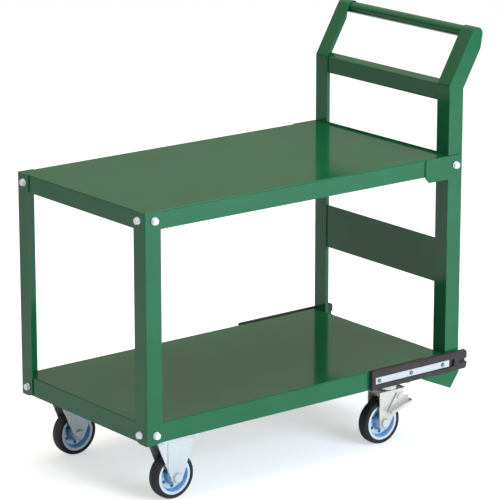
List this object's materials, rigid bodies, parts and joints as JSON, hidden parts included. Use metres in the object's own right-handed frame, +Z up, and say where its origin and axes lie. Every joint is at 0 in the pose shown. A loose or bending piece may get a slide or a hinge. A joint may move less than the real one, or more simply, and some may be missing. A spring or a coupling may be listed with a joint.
{
  "type": "two-tier shelf trolley",
  "caption": "Two-tier steel push trolley: folded decks on corner posts, raised push handle, side bumpers, fixed casters in front and braked swivel casters behind.",
  "frame": {"origin": "on the floor, under the middle of the overall box", "axes": "+Z up; the trolley rolls towards -X, its handle is at +X; its left side is -Y"},
  "size_m": [0.9036, 0.4684, 0.8992],
  "materials": {
    "green_enamel": "gloss",
    "bright_zinc": "satin",
    "caster_zinc": "satin",
    "disc_zinc": "satin",
    "axle_zinc": "satin",
    "bearing_steel": "satin",
    "bumper_rubber": "matte",
    "black_rubber": "matte"
  },
  "bodies": {
    "chassis": {"upper_deck": "green_enamel", "lower_deck": "green_enamel", "handle_crossbar": "green_enamel", "handle_tube": "green_enamel", "back_panel": "green_enamel", "caster_channel_front": "green_enamel", "caster_channel_rear": "green_enamel", "front_post_left": "green_enamel", "rear_post_left": "green_enamel", "upper_bracket_left": "green_enamel", "lower_gusset_left": "green_enamel", "front_post_right": "green_enamel", "rear_post_right": "green_enamel", "upper_bracket_right": "green_enamel", "lower_gusset_right": "green_enamel", "bumper_left": "bumper_rubber", "bumper_right": "bumper_rubber", "bumper_strip_left": "bright_zinc", "bumper_strip_right": "bright_zinc", "frame_bolts": "bright_zinc", "frame_washers": "bright_zinc", "frame_nuts": "bright_zinc", "bumper_screws": "bright_zinc", "bumper_nuts": "bright_zinc", "caster_plate_bolts": "bright_zinc", "caster_plate_nuts": "bright_zinc", "fixed_fork_left": "caster_zinc", "axle_front_left": "axle_zinc", "swivel_plate_left": "caster_zinc", "kingpin_left": "caster_zinc", "fixed_fork_right": "caster_zinc", "axle_front_right": "axle_zinc", "swivel_plate_right": "caster_zinc", "kingpin_right": "caster_zinc"},
    "front_wheel_left": {"tyre_front_left": "black_rubber", "wheel_discs_front_left": "disc_zinc", "wheel_rivets_front_left": "axle_zinc", "wheel_hub_front_left": "bearing_steel"},
    "rear_caster_left": {"swivel_fork_left": "caster_zinc", "swivel_balls_left": "bearing_steel", "brake_pin_left": "caster_zinc", "axle_rear_left": "axle_zinc"},
    "rear_wheel_left": {"tyre_rear_left": "black_rubber", "wheel_discs_rear_left": "disc_zinc", "wheel_rivets_rear_left": "axle_zinc", "wheel_hub_rear_left": "bearing_steel"},
    "brake_lever_left": {"brake_pedal_left": "caster_zinc"},
    "front_wheel_right": {"tyre_front_right": "black_rubber", "wheel_discs_front_right": "disc_zinc", "wheel_rivets_front_right": "axle_zinc", "wheel_hub_front_right": "bearing_steel"},
    "rear_caster_right": {"swivel_fork_right": "caster_zinc", "swivel_balls_right": "bearing_steel", "brake_pin_right": "caster_zinc", "axle_rear_right": "axle_zinc"},
    "rear_wheel_right": {"tyre_rear_right": "black_rubber", "wheel_discs_rear_right": "disc_zinc", "wheel_rivets_rear_right": "axle_zinc", "wheel_hub_rear_right": "bearing_steel"},
    "brake_lever_right": {"brake_pedal_right": "caster_zinc"}
  },
  "joints": [
    {"name": "front_wheel_left_spin", "type": "hinge", "parent": "chassis", "child": "front_wheel_left", "pos_m": [-0.34754, -0.175, 0.05], "axis": [0, 1, 0], "continuous": true},
    {"name": "rear_caster_left_swivel", "type": "hinge", "parent": "chassis", "child": "rear_caster_left", "pos_m": [0.23675, -0.175, 0.1205], "axis": [0, 0, 1], "continuous": true},
    {"name": "rear_wheel_left_spin", "type": "hinge", "parent": "rear_caster_left", "child": "rear_wheel_left", "pos_m": [0.21455, -0.175, 0.05], "axis": [0, 1, 0], "continuous": true},
    {"name": "brake_lever_left_tilt", "type": "hinge", "parent": "rear_caster_left", "child": "brake_lever_left", "pos_m": [0.25155, -0.175, 0.1037], "axis": [0, 1, 0], "range_deg": [0, 20]},
    {"name": "front_wheel_right_spin", "type": "hinge", "parent": "chassis", "child": "front_wheel_right", "pos_m": [-0.34754, 0.175, 0.05], "axis": [0, 1, 0], "continuous": true},
    {"name": "rear_caster_right_swivel", "type": "hinge", "parent": "chassis", "child": "rear_caster_right", "pos_m": [0.23675, 0.175, 0.1205], "axis": [0, 0, 1], "continuous": true},
    {"name": "rear_wheel_right_spin", "type": "hinge", "parent": "rear_caster_right", "child": "rear_wheel_right", "pos_m": [0.21455, 0.175, 0.05], "axis": [0, 1, 0], "continuous": true},
    {"name": "brake_lever_right_tilt", "type": "hinge", "parent": "rear_caster_right", "child": "brake_lever_right", "pos_m": [0.25155, 0.175, 0.1037], "axis": [0, 1, 0], "range_deg": [0, 20]}
  ]
}
